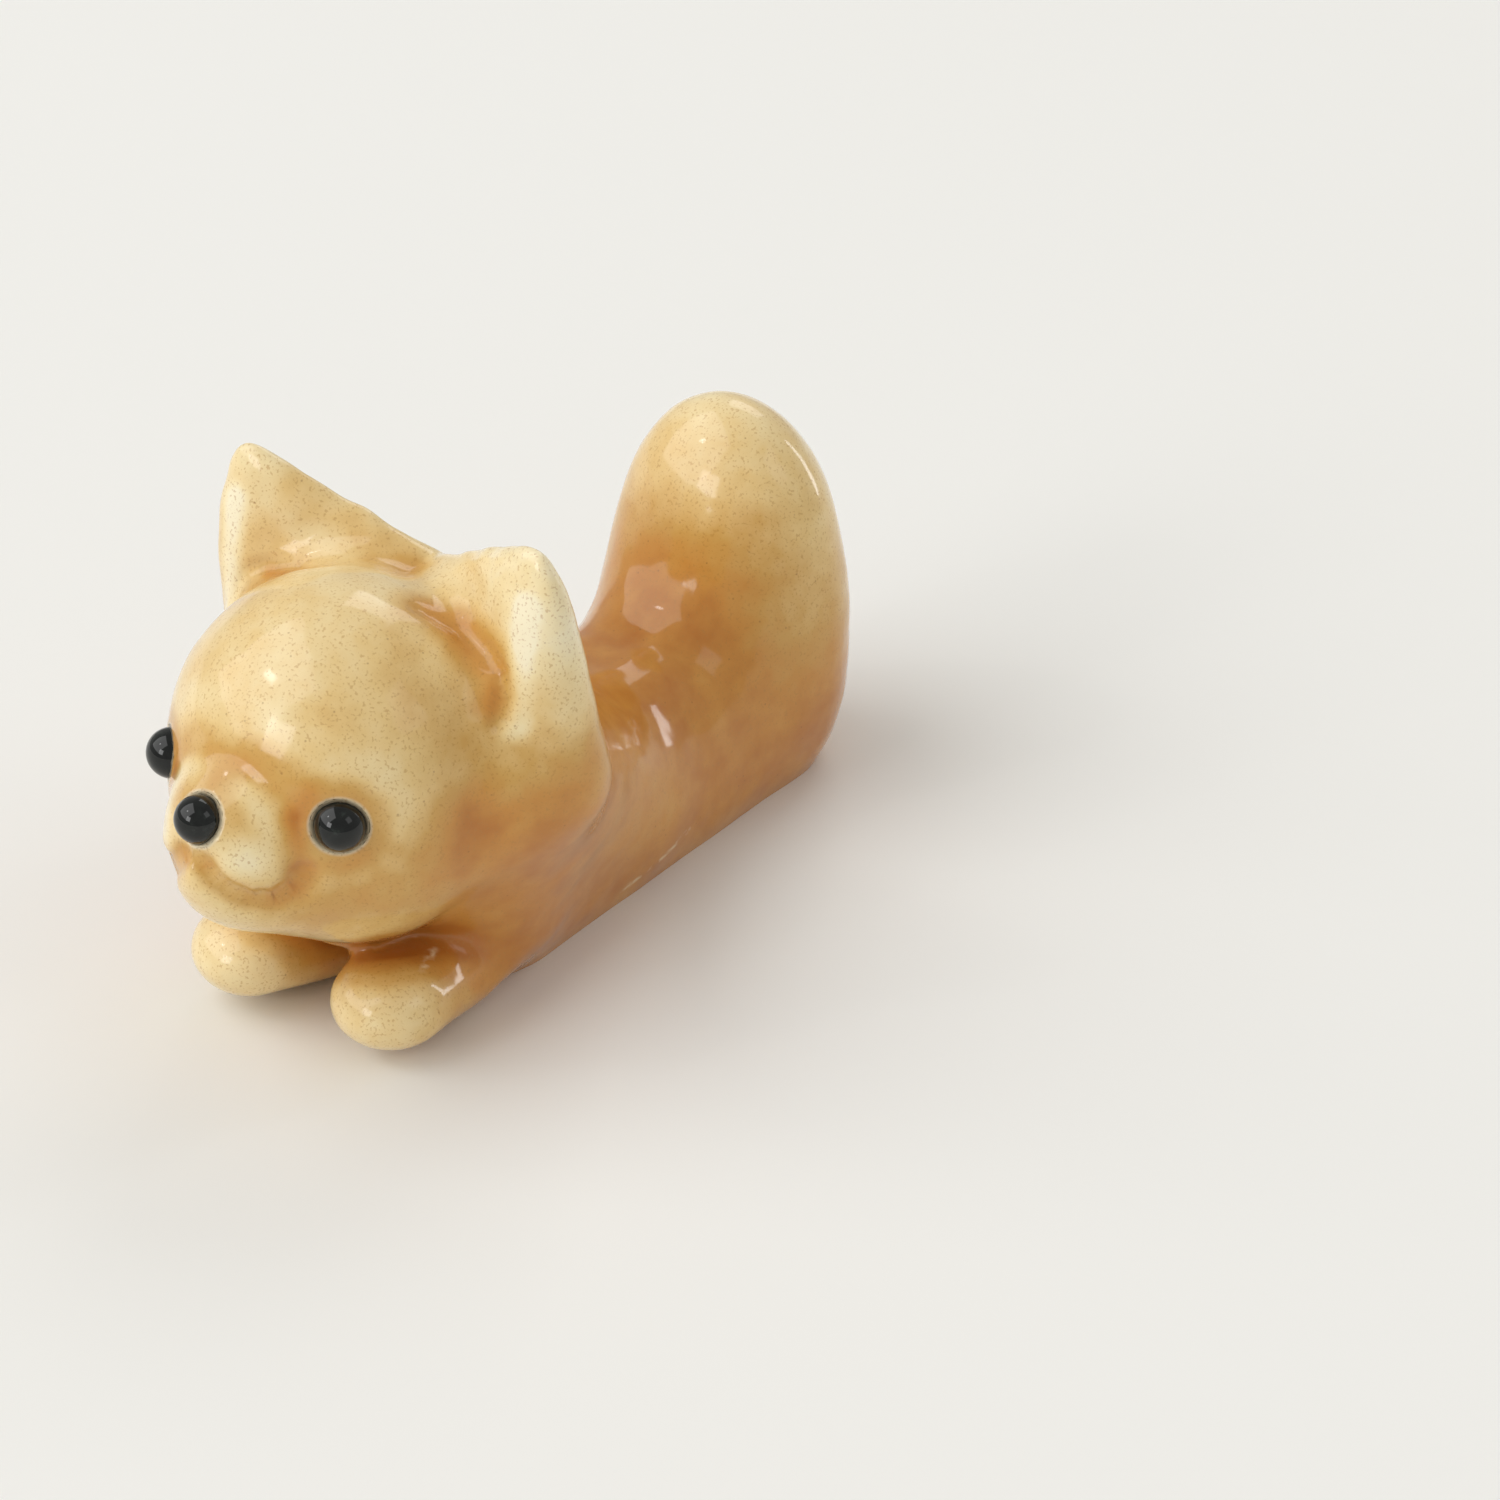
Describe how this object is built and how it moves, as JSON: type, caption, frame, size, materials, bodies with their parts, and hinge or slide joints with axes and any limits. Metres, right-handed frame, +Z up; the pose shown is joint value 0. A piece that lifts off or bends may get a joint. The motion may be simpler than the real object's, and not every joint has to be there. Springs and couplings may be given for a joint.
{
  "type": "chopstick rest",
  "caption": "Small glazed ceramic chopstick rest shaped as a lying dog; the dip of the back between head and raised tail holds the chopsticks.",
  "frame": {"origin": "middle of the overall box, on the plane of the flat foot", "axes": "+Z up, +Y from the dog's nose towards its tail, +X to the dog's own left"},
  "size_m": [0.0296, 0.0617, 0.0341],
  "materials": {
    "glaze_honey": "thick glossy honey glaze with fine brown specks",
    "glaze_light": "thick glossy honey glaze, paler where it thins over ridges",
    "bead_black": "glossy black glaze"
  },
  "bodies": {
    "root": {"body": "glaze_honey", "head": "glaze_honey", "muzzle": "glaze_light", "left_ear": "glaze_light", "right_ear": "glaze_light", "left_forepaw": "glaze_light", "right_forepaw": "glaze_light", "tail": "glaze_honey", "left_eye": "bead_black", "right_eye": "bead_black", "nose": "bead_black"}
  },
  "joints": []
}
